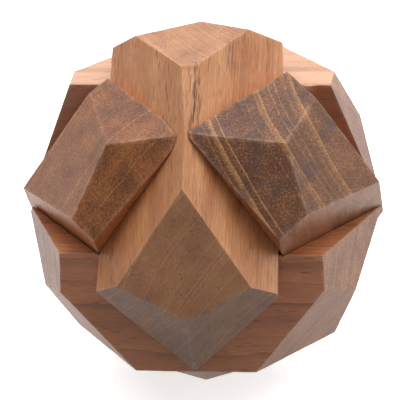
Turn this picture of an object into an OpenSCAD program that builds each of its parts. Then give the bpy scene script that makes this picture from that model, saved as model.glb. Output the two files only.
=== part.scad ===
// Six-piece diagonal burr: three crossed pairs of identical square sticks, set on edge
// and locked by V notches, with their ends cut to the facets of a ball.

/* [Sticks] */
// Side of each stick's square section
stick_w = 28; // [20:0.5:40]
// Gap between two faces that slide on each other
fit_gap = 0.2; // [0.1:0.05:0.4]

/* [End facets] */
// Fall of the two long facets at a stick's end towards its outer edge, in degrees
outer_fall = 14; // [10:1:18]
// Fall of those two facets towards the stick's side edges, in degrees
side_fall = 16; // [13:1:20]
// Tilt of the kite facet from square with the stick towards its outer edge, in degrees
kite_tilt = 48; // [43:1:52]
// Distance of the kite facets from the ball's centre, as a share of the tips' distance
kite_share = 0.97; // [0.94:0.01:1]

/* [Colours] */
// The upper front stick and the lower back stick
upright_colour = "burlywood"; // [burlywood, tan, peru]
// The left stick and the right stick
side_colour = "peru"; // [burlywood, tan, peru]
// The upper back stick and the lower front stick
cross_colour = "tan"; // [burlywood, tan, peru]

/* [Hidden] */
// Half of the square section's diagonal, which is the pitch of the whole puzzle
half_diag = stick_w / sqrt(2);
// The inner tips end level with the outer edges of the sticks that they pass
tip_reach = 2 * half_diag;
kite_reach = kite_share * tip_reach;
// Longer than the ball is wide, so that the facets alone end a stick
blank_length = 3 * tip_reach;
// A third of a turn about this diagonal carries each pair of sticks to the next pair
pair_axis = [1, -1, 1];
pair_turn = 120;

// Square bar on edge along Z, with every face moved out by grow
module bar(grow = 0) {
    linear_extrude(height = blank_length, center = true)
        rotate(45)
            square(stick_w + 2 * grow, center = true);
}

// Everything above a height
module above(height) {
    translate([-blank_length / 2, -blank_length / 2, height])
        cube(blank_length);
}

// What the three facets cut away at the top of a stick
module end_cuts() {
    for (side = [-1, 1])
        translate([0, 0, tip_reach])
            rotate([outer_fall, side * side_fall, 0])
                above(0);
    rotate([kite_tilt, 0, 0])
        above(kite_reach);
}

// The stick in front of the ball's centre, upright, with its outer edge towards -Y
module burr_stick() {
    difference() {
        translate([0, -half_diag, 0])
            bar();
        end_cuts();
        mirror([0, 0, 1])
            end_cuts();
        // Two V notches side by side let the sticks of the next pair cross
        for (end = [-1, 1])
            translate([0, 0, end * half_diag])
                rotate([0, 90, 0])
                    bar(fit_gap);
    }
}

// Carries the stick round to its pair and its side, and stands the ball on a kite facet
module placed(pair, opposite = false) {
    translate([0, 0, kite_reach])
        rotate([-kite_tilt, 0, 0])
            rotate(pair * pair_turn, pair_axis)
                rotate([0, 0, opposite ? 180 : 0])
                    children();
}

module upper_front_stick() {
    color(upright_colour)
        placed(0)
            burr_stick();
}

// The ball rests on this stick's lower kite facet
module lower_back_stick() {
    color(upright_colour)
        placed(0, opposite = true)
            burr_stick();
}

module left_stick() {
    color(side_colour)
        placed(1, opposite = true)
            burr_stick();
}

module right_stick() {
    color(side_colour)
        placed(1)
            burr_stick();
}

module upper_back_stick() {
    color(cross_colour)
        placed(2)
            burr_stick();
}

module lower_front_stick() {
    color(cross_colour)
        placed(2, opposite = true)
            burr_stick();
}

upper_front_stick();
lower_back_stick();
left_stick();
right_stick();
upper_back_stick();
lower_front_stick();
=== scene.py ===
"""Wooden burr puzzle: six notched sticks with hand-cut ends, in oiled hardwood, on a pale floor."""
import math

import bmesh
import bpy
import numpy as np
from mathutils import Matrix, Vector, noise


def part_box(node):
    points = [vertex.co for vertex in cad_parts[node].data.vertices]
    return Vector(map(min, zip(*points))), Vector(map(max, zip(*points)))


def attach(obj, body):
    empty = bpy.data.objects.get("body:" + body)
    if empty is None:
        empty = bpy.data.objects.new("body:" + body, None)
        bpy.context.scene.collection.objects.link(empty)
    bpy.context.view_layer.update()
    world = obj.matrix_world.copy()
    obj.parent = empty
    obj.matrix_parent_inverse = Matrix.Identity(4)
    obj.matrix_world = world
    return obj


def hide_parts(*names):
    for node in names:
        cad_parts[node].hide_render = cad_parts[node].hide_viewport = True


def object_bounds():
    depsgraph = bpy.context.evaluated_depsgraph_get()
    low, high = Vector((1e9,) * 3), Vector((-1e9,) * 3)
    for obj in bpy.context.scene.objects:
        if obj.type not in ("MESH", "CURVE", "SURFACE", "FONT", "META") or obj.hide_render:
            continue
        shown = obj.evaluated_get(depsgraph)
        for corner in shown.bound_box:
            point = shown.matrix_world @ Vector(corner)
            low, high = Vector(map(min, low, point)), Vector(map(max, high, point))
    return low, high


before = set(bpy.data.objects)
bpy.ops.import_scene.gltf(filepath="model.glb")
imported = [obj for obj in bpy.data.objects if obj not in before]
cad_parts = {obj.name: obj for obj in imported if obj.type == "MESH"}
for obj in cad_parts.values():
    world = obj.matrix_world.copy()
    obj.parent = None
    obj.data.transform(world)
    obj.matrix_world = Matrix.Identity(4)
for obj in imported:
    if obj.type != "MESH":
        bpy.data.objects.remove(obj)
cad_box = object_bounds()

# ---------------------------------------------------------------- sizes, in metres
MM = 0.001
front_low, front_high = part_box("upper_front_stick")
HALF = (front_high.x - front_low.x) / 2  # half the diagonal of a stick's square section
CENTRE = Vector((0, 0, (cad_box[0].z + cad_box[1].z) / 2))
KITE_TILT = math.radians(48)
PAIR_TURN = math.radians(120)
PAIR_AXIS = Vector((1, -1, 1)).normalized()
FIT_GAP = 0.2 * MM
EASED_EDGE = 0.3 * MM
EASE_SEGMENTS = 3
LONG_EDGE = 1.4 * MM
LONG_EDGE_AT_RIM = 0.5 * MM
SPLIT_ROUNDS = 5
RIM_SPLIT_ROUNDS = 2
FACE_WAVE = 0.04 * MM
FACE_WAVE_SIZE = 9 * MM
EDGE_WEAR = 0.14 * MM
EDGE_WEAR_SIZE = 3 * MM
WEAR_WIDTH = 0.5 * MM
CHIP_ROUGHNESS_SIZE = 0.9 * MM
CHIP_LEAST = 0.4  # share of a chip's depth where its roughness is zero


# ---------------------------------------------------------------- shape of one stick
# A stick's own axes: X is its left and right, -Y its outer edge and Z its length, with the
# inner edge on the Z axis. Lengths below are in half diagonals until the mesh is scaled.
ROUGH_BLOCK = 8  # side of the cube that each convex length is cut from
BLUNT_LEAN = 0.35  # how much the blunted tip's plane faces along the stick
SAME_POINT = 1e-5
ON_PLANE = 1e-4
FLAT_ANGLE = math.radians(0.2)  # faces that meet at less than this are one face
SHARP_ANGLE = math.radians(2)  # outward edges that turn more than this are eased


def end_cut(tip=2.0, outer=0.26, left=0.287, right=0.287, kite=0.68, slope=1.11, skew=0.0, blunt=0.04):
    """How the end of a stick is cut: two long facets that fall from the inner tip, one kite facet
    that falls to its apex on the outer edge, and the blunted tip."""
    return {
        "left_facet": ((-left, -outer, 1), tip),
        "right_facet": ((right, -outer, 1), tip),
        "kite_facet": ((-skew, -slope, 1), kite + 2 * slope),
        "blunt_tip": ((0, 1, BLUNT_LEAN), BLUNT_LEAN * tip - blunt * (1 + BLUNT_LEAN * outer)),
    }


def turned(planes, end):
    """The planes of an end cut at the top, end +1, or at the bottom, end -1."""
    return [((x, y, z * end), distance) for (x, y, z), distance in planes.values()]


SQUARE_SIDES = [((1, 1, 0), 0), ((-1, 1, 0), 0), ((1, -1, 0), 2), ((-1, -1, 0), 2)]


def clip(solid, normal, distance):
    """Keeps the part of the closed solid where normal . point is at most distance."""
    normal = Vector(normal)
    cut = bmesh.ops.bisect_plane(
        solid,
        geom=solid.verts[:] + solid.edges[:] + solid.faces[:],
        plane_co=normal * distance / normal.length_squared,
        plane_no=normal,
        clear_outer=True,
    )
    rim = [part for part in cut["geom_cut"] if isinstance(part, bmesh.types.BMEdge)]
    if rim:
        bmesh.ops.contextual_create(solid, geom=rim)


def add_convex(solid, planes):
    """Adds the convex solid inside all the planes."""
    block = bmesh.new()
    bmesh.ops.create_cube(block, size=ROUGH_BLOCK)
    for normal, distance in planes:
        clip(block, normal, distance)
    made = bpy.data.meshes.new("block")
    block.to_mesh(made)
    solid.from_mesh(made)
    bpy.data.meshes.remove(made)
    block.free()


def notched_stick(top, bottom, planed):
    """The stick as one closed solid of flat faces: three convex lengths, between the notches' roots."""
    gap = FIT_GAP * math.sqrt(2) / HALF
    outside = SQUARE_SIDES + turned(top, 1) + turned(bottom, -1) + planed
    solid = bmesh.new()
    between_roots = [((0, 0, 1), 1), ((0, 0, -1), 1), ((0, 1, 1), -gap), ((0, 1, -1), -gap)]
    add_convex(solid, outside + between_roots)
    for end in (1, -1):
        add_convex(solid, outside + [((0, 0, -end), -1), ((0, 1, -end), -2 - gap)])
    bmesh.ops.remove_doubles(solid, verts=solid.verts[:], dist=SAME_POINT)
    inner = [f for f in solid.faces if all(abs(abs(v.co.z) - 1) < ON_PLANE for v in f.verts)]
    bmesh.ops.delete(solid, geom=inner, context="FACES_ONLY")
    bmesh.ops.dissolve_limit(
        solid, angle_limit=FLAT_ANGLE, verts=solid.verts[:], edges=solid.edges[:]
    )
    bmesh.ops.recalc_face_normals(solid, faces=solid.faces[:])
    bmesh.ops.scale(solid, vec=(HALF, HALF, HALF), verts=solid.verts[:])
    return solid


def distance_to_edges(points, segments):
    """The distance of each point to the nearest of the straight edges."""
    nearest = np.full(len(points), np.inf)
    for start, end in segments:
        along = end - start
        share = np.clip((points - start) @ along / (along @ along), 0, 1)
        gaps = np.linalg.norm(points - (start + share[:, None] * along), axis=1)
        nearest = np.minimum(nearest, gaps)
    return nearest


def split(solid, long_edges):
    """Halves the edges and triangulates the faces that they cross."""
    bmesh.ops.subdivide_edges(solid, edges=long_edges, cuts=1)
    bmesh.ops.triangulate(solid, faces=[f for f in solid.faces if len(f.verts) > 3])


def refine(solid, segments):
    """Splits long edges, most of all along the stick's own edges, so that the surface can take
    slight waves and wear."""
    bmesh.ops.triangulate(solid, faces=solid.faces[:])
    for _ in range(SPLIT_ROUNDS):
        split(solid, [e for e in solid.edges if e.calc_length() > LONG_EDGE])
    for _ in range(RIM_SPLIT_ROUNDS):
        long_edges = [e for e in solid.edges if e.calc_length() > LONG_EDGE_AT_RIM]
        middles = np.array([(e.verts[0].co + e.verts[1].co) / 2 for e in long_edges])
        close = distance_to_edges(middles, segments) < 2 * WEAR_WIDTH
        split(solid, [e for e, is_close in zip(long_edges, close) if is_close])


def noise_at(points, size, seed):
    """Smooth noise from 0 to 1 at each point, with features of about that size."""
    shift = Vector((seed * 7.3, seed * 3.1, seed * 5.7))
    return np.array([0.5 + 0.5 * noise.noise(Vector(p) / size + shift) for p in points])


def placement(pair, opposite):
    """Carries a stick from its own axes to its place in the ball."""
    return (
        Matrix.Translation(CENTRE)
        @ Matrix.Rotation(-KITE_TILT, 4, "X")
        @ Matrix.Rotation(pair * PAIR_TURN, 4, PAIR_AXIS)
        @ Matrix.Rotation(math.pi if opposite else 0, 4, "Z")
    )


def read_vectors(items, field):
    """A row of three numbers for each item."""
    values = np.empty(len(items) * 3, np.float32)
    items.foreach_get(field, values)
    return values.reshape(-1, 3).astype(float)


def chip_and_highlight_spots(points, look):
    """For each chip and each highlight spot: how far each point is inside it, and how deep it is cut in."""
    rough = noise_at(points, CHIP_ROUGHNESS_SIZE, look["seed"] + 2) if look["chips_and_highlight_spots"] else 0
    for x, out, z, radius, deepest in look["chips_and_highlight_spots"]:
        away = np.linalg.norm(points - np.array((x, -out, z)) * HALF, axis=1) / (radius * MM)
        in_spot = np.clip(1 - away**2, 0, 1) * (CHIP_LEAST + rough)
        yield in_spot, deepest * MM * in_spot


def wear_down(mesh, segments, look):
    """Gives the faces slight waves and wears the edges and chips towards the stick's core. The
    points before that, in millimetres, stay as the grain's coordinates."""
    points = read_vectors(mesh.vertices, "co")
    normals = read_vectors(mesh.vertex_normals, "vector")
    to_edge = distance_to_edges(points, segments)
    on_face = np.clip(to_edge / WEAR_WIDTH - 1, 0, 1)
    wave = FACE_WAVE * noise_at(points, FACE_WAVE_SIZE, look["seed"]) * on_face
    wear_and_highlight = np.exp(-((to_edge / WEAR_WIDTH) ** 2))
    worn_off = EDGE_WEAR * wear_and_highlight * noise_at(points, EDGE_WEAR_SIZE, look["seed"] + 1) ** 2
    for in_spot, depth in chip_and_highlight_spots(points, look):
        worn_off += depth
        wear_and_highlight = np.maximum(wear_and_highlight, 2 * in_spot)

    core = np.zeros_like(points)
    core[:, 1] = -HALF
    core[:, 2] = np.clip(points[:, 2], -HALF, HALF)
    to_core = core - points
    to_core /= np.linalg.norm(to_core, axis=1)[:, None]
    grain = mesh.attributes.new("grain", "FLOAT_VECTOR", "POINT")
    grain.data.foreach_set("vector", (points / MM).astype(np.float32).ravel())
    # The edge wear, raised at chips and highlight spots, also marks where the edges are painted lighter:
    # partly rubbed wood, partly painted highlight
    mesh.attributes.new("wear_and_highlight", "FLOAT", "POINT").data.foreach_set("value", wear_and_highlight.astype(np.float32))
    worn = points - normals * wave[:, None] + to_core * worn_off[:, None]
    mesh.vertices.foreach_set("co", worn.astype(np.float32).ravel())


def make_stick(name, look):
    """One stick, with eased and worn edges, in place in the row frame."""
    solid = notched_stick(look["top"], look["bottom"], look["planed"])
    sharp = [e for e in solid.edges if e.calc_face_angle_signed(0) > SHARP_ANGLE]
    segments = [(np.array(e.verts[0].co), np.array(e.verts[1].co)) for e in sharp]
    bmesh.ops.bevel(
        solid,
        geom=sharp,
        offset=EASED_EDGE,
        segments=EASE_SEGMENTS,
        profile=0.5,
        affect="EDGES",
        clamp_overlap=True,
    )
    refine(solid, segments)
    mesh = bpy.data.meshes.new(name + "_wood")
    solid.to_mesh(mesh)
    solid.free()
    wear_down(mesh, segments, look)
    mesh.polygons.foreach_set("use_smooth", [True] * len(mesh.polygons))

    place = placement(look["pair"], look["opposite"])
    mesh.transform(place)
    mesh.update()
    piece = bpy.data.objects.new(name + "_wood", mesh)
    bpy.context.scene.collection.objects.link(piece)
    flats = piece.modifiers.new("flat faces stay flat", "WEIGHTED_NORMAL")
    flats.weight = 50
    mesh.materials.append(wood(name, look, place.to_3x3() @ Vector((0, 0, 1))))
    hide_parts(name)
    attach(piece, name)


# ---------------------------------------------------------------- oiled hardwood
NOISE_STEP = 31.7  # moves each stick to its own part of the noise
LINE_WIDTH = 0.3  # of the light line that starts a ring, in millimetres
PORE_COLOUR = (48, 28, 20)
STAIN_COLOUR = (72, 56, 56)
STREAK_COLOUR = (62, 46, 44)
# colour of the painted shade on one side of a stick
UNDERSIDE_SHADE_COLOUR = (112, 56, 34)
UNDERSIDE_SHADE_FADE = 0.05  # half diagonals
LONG_STOPS = (0.32, 0.5, 0.68)
END_STOPS = (0.38, 0.62)
LONG_TONE = {"fibre": 0.2, "streak": 0.2, "cloud": 0.3, "fine": 0.3}
END_TONE = {"grit": 0.55, "cloud": 0.45}
FINE_HEIGHT = 0.01  # of the bumps that the fine noise makes, in millimetres
PORE_DEPTH = 0.04
BUMP_STRENGTH = 0.8

# Noises drawn out along the grain: the share of the length that counts, then scale, detail and
# roughness. The scale is in features per millimetre, across the grain.
GRAIN_NOISES = {
    "fibre": (0.03, 2.8, 3.0, 0.6),
    "fine": (0.1, 4.0, 2.0, 0.6),
    "streak": (0.12, 0.25, 3.0, 0.55),
    "cloud": (0.5, 0.16, 4.0, 0.62),
    "grit": (0.3, 2.4, 3.0, 0.7),
    "crowd": (0.15, 0.3, 3.0, 0.5),
    "stain": (0.35, 0.2, 4.0, 0.65),
    "dashes": (0.12, 1.5, 2.0, 0.5),
}
GRAIN_SPOTS = {"pores": (0.14, 1.5), "flecks": (0.3, 2.2)}


def linear(r, g, b):
    """A colour given as 0 to 255, as the shaders want it."""
    return tuple(((c / 255 + 0.055) / 1.055) ** 2.4 if c > 10 else c / 3294 for c in (r, g, b)) + (1.0,)


class Shader:
    """Adds nodes to a material. An input is a number, a colour or another node's output."""

    def __init__(self, name):
        self.material = bpy.data.materials.new(name)
        self.material.use_nodes = True
        self.tree = self.material.node_tree
        self.tree.nodes.clear()

    def finish(self, inputs):
        surface = self.node("ShaderNodeBsdfPrincipled", inputs)
        self.node("ShaderNodeOutputMaterial", {"Surface": surface.outputs[0]})

    def node(self, kind, inputs=(), **settings):
        made = self.tree.nodes.new(kind)
        for key, value in settings.items():
            setattr(made, key, value)
        for key, value in dict(inputs).items():
            if isinstance(value, bpy.types.NodeSocket):
                self.tree.links.new(value, made.inputs[key])
            else:
                made.inputs[key].default_value = value
        return made

    def math(self, operation, *values, clamp=False):
        made = self.node("ShaderNodeMath", enumerate(values), operation=operation, use_clamp=clamp)
        return made.outputs[0]

    def vector(self, operation, *values):
        return self.node("ShaderNodeVectorMath", enumerate(values), operation=operation)

    def stretched(self, vector, scale):
        return self.vector("MULTIPLY", vector, scale).outputs[0]

    def noise(self, vector, scale, detail=2.0, roughness=0.5):
        inputs = {"Vector": vector, "Scale": scale, "Detail": detail, "Roughness": roughness}
        return self.node("ShaderNodeTexNoise", inputs)

    def spots(self, vector, scale):
        inputs = {"Vector": vector, "Scale": scale}
        return self.node("ShaderNodeTexVoronoi", inputs, feature="F1").outputs["Distance"]

    def attribute(self, name, output):
        made = self.node("ShaderNodeAttribute", attribute_name=name, attribute_type="GEOMETRY")
        return made.outputs[output]

    def between(self, value, low, high, out_low=0.0, out_high=1.0):
        inputs = {"Value": value, "From Min": low, "From Max": high, "To Min": out_low, "To Max": out_high}
        return self.node("ShaderNodeMapRange", inputs, interpolation_type="SMOOTHSTEP").outputs[0]

    def weighted(self, marks, weights):
        total = 0.0
        for mark, weight in weights.items():
            total = self.math("MULTIPLY_ADD", marks[mark], weight, total)
        return total

    def mix(self, factor, first, second):
        inputs = {0: factor, 6: first, 7: second}
        return self.node("ShaderNodeMix", inputs, data_type="RGBA").outputs[2]

    def paint(self, factor, colour, over):
        """Lays a colour given as 0 to 255 over the colour so far."""
        return self.mix(factor, colour, linear(*over))

    def ramp(self, value, positions, colours):
        made = self.node("ShaderNodeValToRGB", {"Fac": value})
        while len(made.color_ramp.elements) < len(positions):
            made.color_ramp.elements.new(0.5)
        for element, position, colour in zip(made.color_ramp.elements, positions, colours):
            element.position = position
            element.color = linear(*colour)
        return made.outputs[0]


def growth_rings(s, place, grain, look):
    """Rings round a pith that sways along the stick. Gives the place across and outwards in the
    swayed wood, how far it is through its ring, from 0 to 1, and a random number for each ring."""
    sway = s.noise(s.stretched(grain, (1, 1, 0.4)), 0.05, 3.0).outputs["Color"]
    sway = s.vector("SUBTRACT", sway, (0.5, 0.5, 0.5)).outputs[0]
    swayed = s.vector("ADD", place, s.stretched(sway, (look["sway"], look["sway"], 0))).outputs[0]
    x, y, _ = s.node("ShaderNodeSeparateXYZ", {"Vector": swayed}).outputs
    pith = (look["pith"][0] * HALF / MM, -look["pith"][1] * HALF / MM)
    squares = [s.math("POWER", s.math("SUBTRACT", a, centre), 2) for a, centre in zip((x, y), pith)]
    radius = s.math("SQRT", s.math("ADD", *squares))
    outwards = s.node("ShaderNodeCombineXYZ", {"X": radius, "Y": look["seed"] * NOISE_STEP}).outputs[0]
    uneven = s.math("MULTIPLY", s.noise(outwards, 0.28, 2.0).outputs["Fac"], 3.5)
    rings = s.math("ADD", s.math("DIVIDE", radius, look["ring"]), uneven)
    ring_number = s.math("ADD", s.math("FLOOR", rings), look["seed"] * NOISE_STEP)
    each = s.node("ShaderNodeTexWhiteNoise", {"W": ring_number}, noise_dimensions="1D").outputs["Value"]
    return x, y, s.math("FRACT", rings), each


def ring_marks(s, phase, each, look):
    """The light line that starts a ring, and the late wood that ends it."""
    width = s.between(each, 0.5, 1, 0.6 * LINE_WIDTH / look["ring"], 3 * LINE_WIDTH / look["ring"])
    line = s.math("SUBTRACT", 1, s.math("DIVIDE", phase, width), clamp=True)
    line = s.math("MULTIPLY", line, s.between(each, 0.3, 0.9, 0.1, 1))
    late = s.math("MULTIPLY_ADD", s.between(phase, 0.75, 0.98), 0.6, s.math("MULTIPLY", phase, 0.3))
    late = s.math("MULTIPLY", late, s.between(each, 0, 1, 0.3, 1))
    return {"line": line, "late": late}


def grain_marks(s, grain, phase, each):
    """Fibres, streaks, pores and flecks, all drawn out along the grain."""
    marks = {}
    for mark, (share, *settings) in GRAIN_NOISES.items():
        marks[mark] = s.noise(s.stretched(grain, (1, 1, share)), *settings).outputs["Fac"]
    spots = {}
    for mark, (share, scale) in GRAIN_SPOTS.items():
        spots[mark] = s.spots(s.stretched(grain, (1, 1, share)), scale)
    crowd = s.between(s.math("MULTIPLY_ADD", phase, -0.12, marks["crowd"]), 0.36, 0.6)
    marks["pore"] = s.math("MULTIPLY", s.between(spots["pores"], 0.13, 0.33, 1, 0), crowd)
    patches = s.between(marks["cloud"], 0.35, 0.6, 0.45, 1)
    fleck = s.math("MULTIPLY", s.between(spots["flecks"], 0.15, 0.5, 1, 0), patches)
    early = s.math("MULTIPLY", s.between(phase, 0.1, 0.5, 1, 0), s.between(each, 0.3, 0.9))
    marks["fleck"] = s.math("MULTIPLY", fleck, s.math("MULTIPLY_ADD", early, 0.5, 0.8))
    return marks


def plain_colour(s, x, y, end_grain, marks, look):
    """Long grain and end grain, and painted shade on one side of a stick, used for the underside of the top
    stick.
    """
    long_colour = s.ramp(s.weighted(marks, LONG_TONE), LONG_STOPS, look["long"])
    end_colour = s.ramp(s.weighted(marks, END_TONE), END_STOPS, look["end"])
    # Painted shade: darker on the side of the stick below the limit
    across, out, limit, strength = look["underside_shade"]
    inner = s.math("MULTIPLY", x, across * MM / HALF)
    inner = s.math("MULTIPLY_ADD", y, -out * MM / HALF, inner)
    inner = s.between(inner, limit - UNDERSIDE_SHADE_FADE, limit + UNDERSIDE_SHADE_FADE, strength, 0)
    return s.paint(inner, s.mix(end_grain, long_colour, end_colour), UNDERSIDE_SHADE_COLOUR)


def with_streaks(s, colour, place, marks, look):
    """Dark cracks and streaks in the look's own places."""
    for x, out, z, width, length, strength in look["streaks"]:
        spot = (x * HALF / MM, -out * HALF / MM, z * HALF / MM)
        away = s.vector("SUBTRACT", place, spot).outputs[0]
        away = s.stretched(away, (1 / width, 1 / width, 1 / length))
        near = s.between(s.vector("LENGTH", away).outputs["Value"], 0.2, 1, strength, 0)
        near = s.math("MULTIPLY", near, s.between(marks["dashes"], 0.48, 0.58))
        colour = s.paint(near, colour, STREAK_COLOUR)
    return colour


def wood(name, look, grain_axis):
    """Solid wood: rings round a pith, fibres and pores along the grain, darker on end grain."""
    s = Shader(name + "_hardwood")
    place = s.attribute("grain", "Vector")
    elsewhere = tuple(NOISE_STEP * look["seed"] * share for share in (1, 0.6, 1.4))
    grain = s.vector("ADD", place, elsewhere).outputs[0]
    x, y, phase, each = growth_rings(s, place, grain, look)
    marks = {**grain_marks(s, grain, phase, each), **ring_marks(s, phase, each, look)}

    # How square to the grain a face is: 0 along it and 1 across it
    normal = s.node("ShaderNodeNewGeometry").outputs["Normal"]
    facing = s.math("ABSOLUTE", s.vector("DOT_PRODUCT", normal, tuple(grain_axis)).outputs["Value"])
    end_grain = s.between(facing, *look["end_from"])
    colour = plain_colour(s, x, y, end_grain, marks, look)

    # Layers over it: late wood, ring lines, flecks, pores, stains, streaks, and rubbed edges that are partly
    # lighter worn wood and partly painted highlight
    colour = s.paint(s.math("MULTIPLY", marks["late"], look["contrast"]), colour, look["late"])
    gold = s.between(facing, 0.2, 0.6, look["line"] * 0.25, look["line"])
    gold = s.math("MULTIPLY", marks["line"], gold)
    gold = s.math("MULTIPLY", gold, s.between(marks["grit"], 0.4, 0.56, 0.45, 1))
    colour = s.paint(gold, colour, look["gold"])
    fleck = s.math("MULTIPLY", marks["fleck"], s.math("MULTIPLY", end_grain, look["fleck"]))
    colour = s.paint(fleck, colour, look["gold"])
    hole = s.between(end_grain, 0, 1, look["pores"], look["pores"] * 0.8)
    colour = s.paint(s.math("MULTIPLY", marks["pore"], hole), colour, PORE_COLOUR)
    stain = s.between(marks["stain"], 0.5, 0.66)
    colour = s.paint(s.math("MULTIPLY", stain, look["stain"]), colour, STAIN_COLOUR)
    colour = with_streaks(s, colour, place, marks, look)
    # Rubbed edges: lighter worn wood, and a painted highlight along the edges and at the tips of the left
    # and right sticks
    patchy = s.between(s.noise(grain, 0.5, 2.0).outputs["Fac"], 0.35, 0.65, 0.1, 1)
    rubbed_and_highlight = s.math("MULTIPLY", s.math("MULTIPLY", s.attribute("wear_and_highlight", "Fac"), patchy), look["rub_and_highlight"])
    colour = s.paint(rubbed_and_highlight, colour, look["rubbed_and_highlight"])

    # Surface: a thin oil film over open pores
    roughness = s.math("MULTIPLY_ADD", marks["pore"], 0.2, s.between(marks["fibre"], 0.3, 0.7, 0.42, 0.52))
    height = s.math("MULTIPLY", marks["pore"], -PORE_DEPTH)
    height = s.math("MULTIPLY_ADD", marks["fine"], FINE_HEIGHT, height)
    bump = s.node("ShaderNodeBump", {"Height": height, "Distance": MM, "Strength": BUMP_STRENGTH}).outputs[0]
    inputs = {"Base Color": colour, "Roughness": roughness, "Normal": bump, "Specular IOR Level": 0.4}
    s.finish(inputs)
    return s.material


# ---------------------------------------------------------------- the six sticks
LOOK = {
    "pair": 0,
    "opposite": False,
    "seed": 1,
    "top": end_cut(),
    "bottom": end_cut(),
    "planed": [],
    "chips_and_highlight_spots": [],  # chips cut into the edges, and on the left and right sticks spots of painted highlight at the tips: across, outwards and along in half diagonals, then radius and depth in millimetres
    "pith": (2.6, -1.2),  # across and outwards from the inner edge, in half diagonals
    "ring": 2.6,  # millimetres
    "sway": 3.0,
    "long": ((168, 104, 66), (204, 142, 98), (222, 166, 122)),
    "end": ((104, 64, 42), (176, 118, 80)),
    "late": (96, 56, 38),
    "contrast": 0.3,
    "gold": (214, 156, 96),
    "line": 0.6,
    "fleck": 0.4,
    "pores": 0.45,
    "stain": 0.0,
    "end_from": (0.42, 0.9),  # how square to the grain a face is where end grain starts and is full
    "underside_shade": (0.0, 0.0, 0.0, 0.0),  # painted shade: darker where across * x + out * y is below a limit, and how much
    "streaks": [],  # across, outwards and along in half diagonals, then width and length in millimetres
    # how much the edges are painted lighter: partly rubbed wear, partly painted highlight
    "rub_and_highlight": 0.16,
    "rubbed_and_highlight": (232, 190, 158),
}
STICKS = {
    "upper_front_stick": {
        "seed": 1,
        "top": end_cut(kite=0.72, slope=1.19, skew=0.14, right=0.265),
        "bottom": end_cut(outer=0.22, left=0.34, right=0.33, kite=0.64, slope=1.16, skew=0.03),
        "planed": [((1, 0, 0.02), 0.936), ((0, -1, 0.11), 2.0)],
        "streaks": [(0.08, 1.92, 0.45, 2.6, 18.0, 0.8), (0.4, 1.6, 1.1, 2.0, 9.0, 0.5)],
        "line": 0.6,
        "pores": 0.6,
        "long": ((156, 92, 52), (199, 134, 88), (228, 170, 120)),
        "end": ((88, 54, 34), (158, 106, 70)),
    },
    "lower_back_stick": {
        "seed": 2,
        "opposite": True,
        "bottom": end_cut(outer=0.24, left=0.36, kite=0.677),
    },
    "right_stick": {
        "pair": 1,
        "seed": 3,
        "top": end_cut(right=0.37, kite=0.66, slope=1.125),
        "bottom": end_cut(kite=0.22),
        "pith": (2.1, 4.6),
        "end_from": (0.3, 0.75),
        "ring": 1.9,
        "sway": 2.0,
        "line": 0.75,
        "fleck": 0.45,
        "end": ((70, 40, 25), (130, 80, 52)),
        "long": ((146, 88, 58), (178, 122, 88), (196, 144, 110)),
        "stain": 0.5,
        # stronger edge lightening here is painted highlight along the ridges and at the tip
        "rub_and_highlight": 0.2,
        # a small cut at the inner tip that carries a painted highlight
        "chips_and_highlight_spots": [(0, 0.05, 1.97, 1.3, 0.2)],
    },
    "left_stick": {
        "pair": 1,
        "opposite": True,
        "seed": 4,
        "top": end_cut(
            tip=1.95, outer=0.32, left=0.45, right=0.265, kite=0.4, slope=1.14, skew=0.14, blunt=0.1
        ),
        "pith": (2.5, -1.5),
        "end_from": (0.3, 0.75),
        "ring": 4.5,
        "line": 0.75,
        "end": ((96, 52, 26), (166, 98, 52)),
        "long": ((164, 96, 56), (200, 130, 84), (218, 154, 106)),
        # stronger edge lightening here is painted highlight along the ridges and at the tip
        "rub_and_highlight": 0.2,
        # a small cut at the inner tip that carries a painted highlight
        "chips_and_highlight_spots": [(0, 0.12, 1.93, 1.3, 0.2)],
    },
    "upper_back_stick": {
        "pair": 2,
        "seed": 5,
        "top": end_cut(slope=1.13, blunt=0.14),
        "chips_and_highlight_spots": [(1, 1, 0.82, 1.6, 0.5), (1, 1, 1.0, 2.2, 0.6), (1, 1, 1.22, 1.8, 0.5)],
        "pith": (-2.5, 0.5),
        # painted shade on the inner half, which is the top stick's underside
        "underside_shade": (0.0, 1.0, 1.0, 0.75),
        "long": ((186, 130, 98), (206, 156, 124), (216, 170, 140)),
    },
    "lower_front_stick": {
        "pair": 2,
        "opposite": True,
        "seed": 6,
        "top": end_cut(left=0.31, right=0.28, kite=0.67, slope=1.09, blunt=0.03),
        "bottom": end_cut(left=0.31, kite=0.655, slope=1.085, skew=-0.1, blunt=0.12),
        "pith": (2.9, -0.3),
        "ring": 2.1,
        "end": ((120, 76, 52), (186, 128, 92)),
        "late": (70, 38, 26),
        "line": 0.85,
        "contrast": 0.7,
        "pores": 0.6,
        "long": ((134, 74, 44), (188, 118, 78), (212, 148, 104)),
    },
}
for stick_name, changes in STICKS.items():
    make_stick(stick_name, {**LOOK, **changes})

# ---------------------------------------------------------------- floor, light and camera
FLOOR_SIDE = 6.0
FLOOR_COLOUR = (0.93, 0.93, 0.93, 1)
FLOOR_GLOW = 0.78
FLOOR_ROUGHNESS = 0.9
LAMP_DISTANCE = 0.9
SENSOR_WIDTH = 36  # millimetres


def make_floor():
    mesh = bpy.data.meshes.new("floor")
    half = FLOOR_SIDE / 2
    corners = [(-half, -half, 0), (half, -half, 0), (half, half, 0), (-half, half, 0)]
    mesh.from_pydata(corners, [], [(0, 1, 2, 3)])
    floor = bpy.data.objects.new("floor", mesh)
    bpy.context.scene.collection.objects.link(floor)
    s = Shader("pale_floor")
    glow = {"Emission Color": FLOOR_COLOUR, "Emission Strength": FLOOR_GLOW}
    s.finish({"Base Color": FLOOR_COLOUR, "Roughness": FLOOR_ROUGHNESS, **glow})
    mesh.materials.append(s.material)
    floor.visible_diffuse = False  # so that the bright floor doesn't light the ball from below


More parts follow.
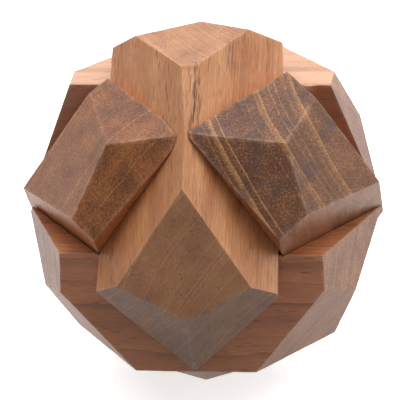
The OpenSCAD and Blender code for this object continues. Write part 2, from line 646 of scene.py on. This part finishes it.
def direction(azimuth, elevation):
    """From the ball outwards; azimuth 0 is on the viewer's side and 90 on the right."""
    a = math.radians(azimuth)
    e = math.radians(elevation)
    return Vector((math.sin(a) * math.cos(e), -math.cos(a) * math.cos(e), math.sin(e)))


def softbox(name, azimuth, elevation, side, power):
    """A square lamp that faces the ball."""
    towards = direction(azimuth, elevation)
    lamp = bpy.data.lights.new(name, "AREA")
    lamp.shape = "SQUARE"
    lamp.size = side
    lamp.energy = power
    holder = bpy.data.objects.new(name, lamp)
    holder.location = CENTRE + towards * LAMP_DISTANCE
    holder.rotation_euler = towards.to_track_quat("Z", "Y").to_euler()
    bpy.context.scene.collection.objects.link(holder)


def make_world(strength):
    world = bpy.data.worlds.new("studio")
    world.use_nodes = True
    background = world.node_tree.nodes["Background"]
    background.inputs["Color"].default_value = (1, 1, 1, 1)
    background.inputs["Strength"].default_value = strength
    bpy.context.scene.world = world


def make_camera(azimuth, elevation, roll, distance, lens, aim_right, aim_up):
    back = direction(azimuth, elevation)
    turn = back.to_track_quat("Z", "Y").to_matrix() @ Matrix.Rotation(math.radians(roll), 3, "Z")
    camera = bpy.data.cameras.new("camera")
    camera.lens = lens
    camera.sensor_width = SENSOR_WIDTH
    holder = bpy.data.objects.new("camera", camera)
    aim = CENTRE + turn.col[0] * aim_right + turn.col[1] * aim_up
    holder.matrix_world = Matrix.Translation(aim + back * distance) @ turn.to_4x4()
    bpy.context.scene.collection.objects.link(holder)
    bpy.context.scene.camera = holder


make_floor()
make_world(strength=0.17)
softbox("overhead", azimuth=180, elevation=83, side=1.5, power=15.0)
softbox("back", azimuth=187, elevation=26, side=0.9, power=3.2)
softbox("left_side", azimuth=-136, elevation=6, side=0.9, power=2.4)
softbox("right_side", azimuth=98, elevation=28, side=0.9, power=3.6)
make_camera(
    azimuth=7.39,
    elevation=26.16,
    roll=-2.85,
    distance=0.6555,
    lens=265.4,
    aim_right=-0.97 * MM,
    aim_up=0.56 * MM,
)
bpy.context.scene.view_settings.view_transform = "Standard"
